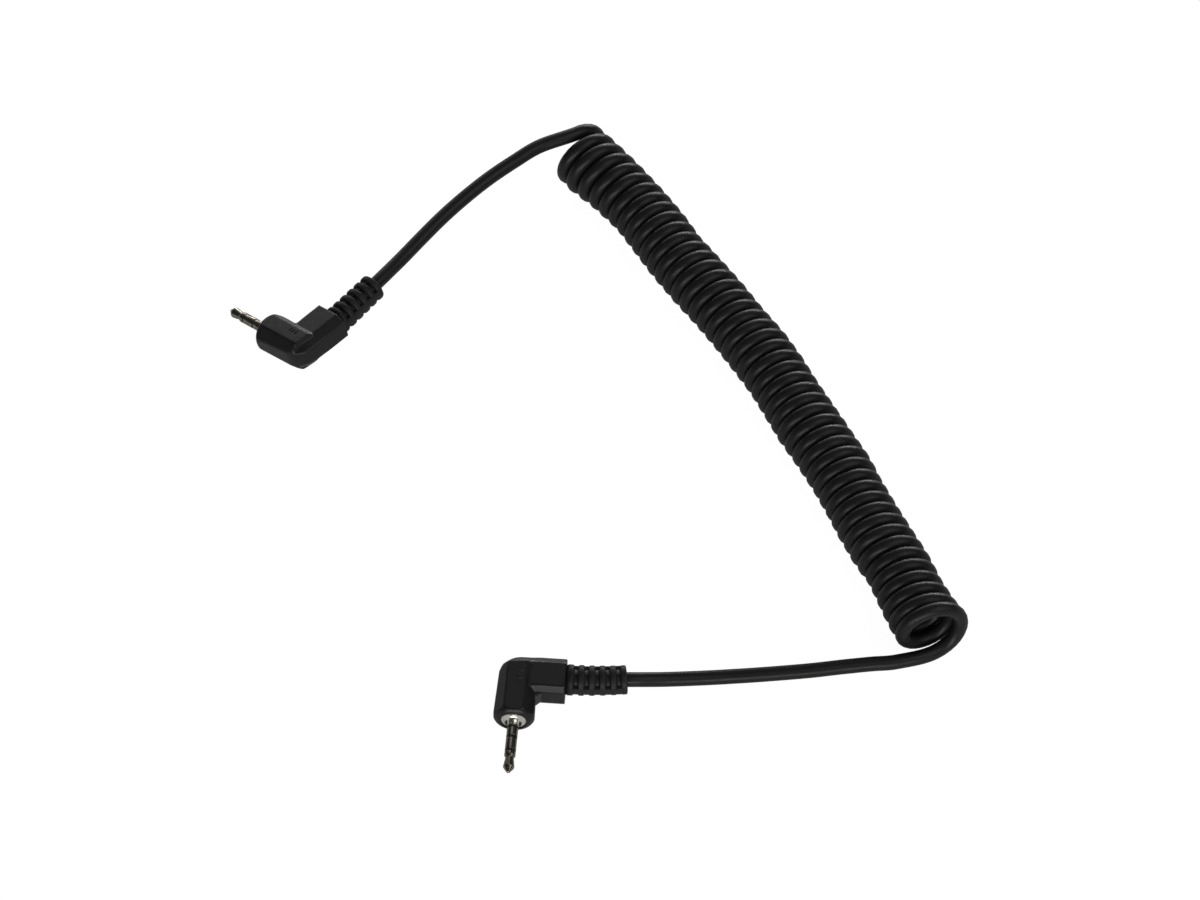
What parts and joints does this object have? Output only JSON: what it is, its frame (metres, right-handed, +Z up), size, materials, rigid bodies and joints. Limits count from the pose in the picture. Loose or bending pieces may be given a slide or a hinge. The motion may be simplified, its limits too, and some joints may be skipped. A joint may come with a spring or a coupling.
{
  "type": "cable shutter release",
  "caption": "Coiled black shutter-release cord that stretches, with a right-angle 2.5 mm three-contact plug and a ribbed strain relief at each end.",
  "frame": {"origin": "on the surface that the cable lies on, below the middle of the common box of the two plugs, without the free cord", "axes": "+Z up from the surface; the pin of plug B points along -Y and its cord leaves along +X"},
  "size_m": [0.1744, 0.1782, 0.0164],
  "materials": {
    "plug_moulding": "moulded black PVC, fine satin",
    "relief_moulding": "moulded black PVC, flexible",
    "cord_jacket": "extruded black polyurethane jacket, satin",
    "nickel_contact": "nickel-plated brass, bright turned",
    "insulator": "black moulded insulator",
    "inner_moulding": "dark first moulding",
    "red_wire": "red insulated wire",
    "yellow_wire": "yellow insulated wire",
    "white_wire": "white insulated wire"
  },
  "bodies": {
    "plug_a_side": {"tip_contact_a": "nickel_contact", "ring_contact_a": "nickel_contact", "sleeve_contact_a": "nickel_contact", "tip_insulator_a": "insulator", "ring_insulator_a": "insulator", "tip_wire_a": "red_wire", "ring_wire_a": "yellow_wire", "sleeve_wire_a": "white_wire", "inner_mould_a": "inner_moulding", "cord_end_a": "cord_jacket", "plug_body_a": "plug_moulding", "strain_relief_a": "relief_moulding", "lead_a": "cord_jacket", "coil": "cord_jacket"},
    "plug_b_side": {"tip_contact_b": "nickel_contact", "ring_contact_b": "nickel_contact", "sleeve_contact_b": "nickel_contact", "tip_insulator_b": "insulator", "ring_insulator_b": "insulator", "tip_wire_b": "red_wire", "ring_wire_b": "yellow_wire", "sleeve_wire_b": "white_wire", "inner_mould_b": "inner_moulding", "cord_end_b": "cord_jacket", "plug_body_b": "plug_moulding", "strain_relief_b": "relief_moulding", "lead_b": "cord_jacket"}
  },
  "joints": [
    {"name": "coil_stretch", "type": "slide", "parent": "plug_a_side", "child": "plug_b_side", "axis": [0.5501, -0.8351, 0], "range_m": [0, 0.5], "stiffness_N_per_m": 20, "deforming": ["coil"]}
  ]
}
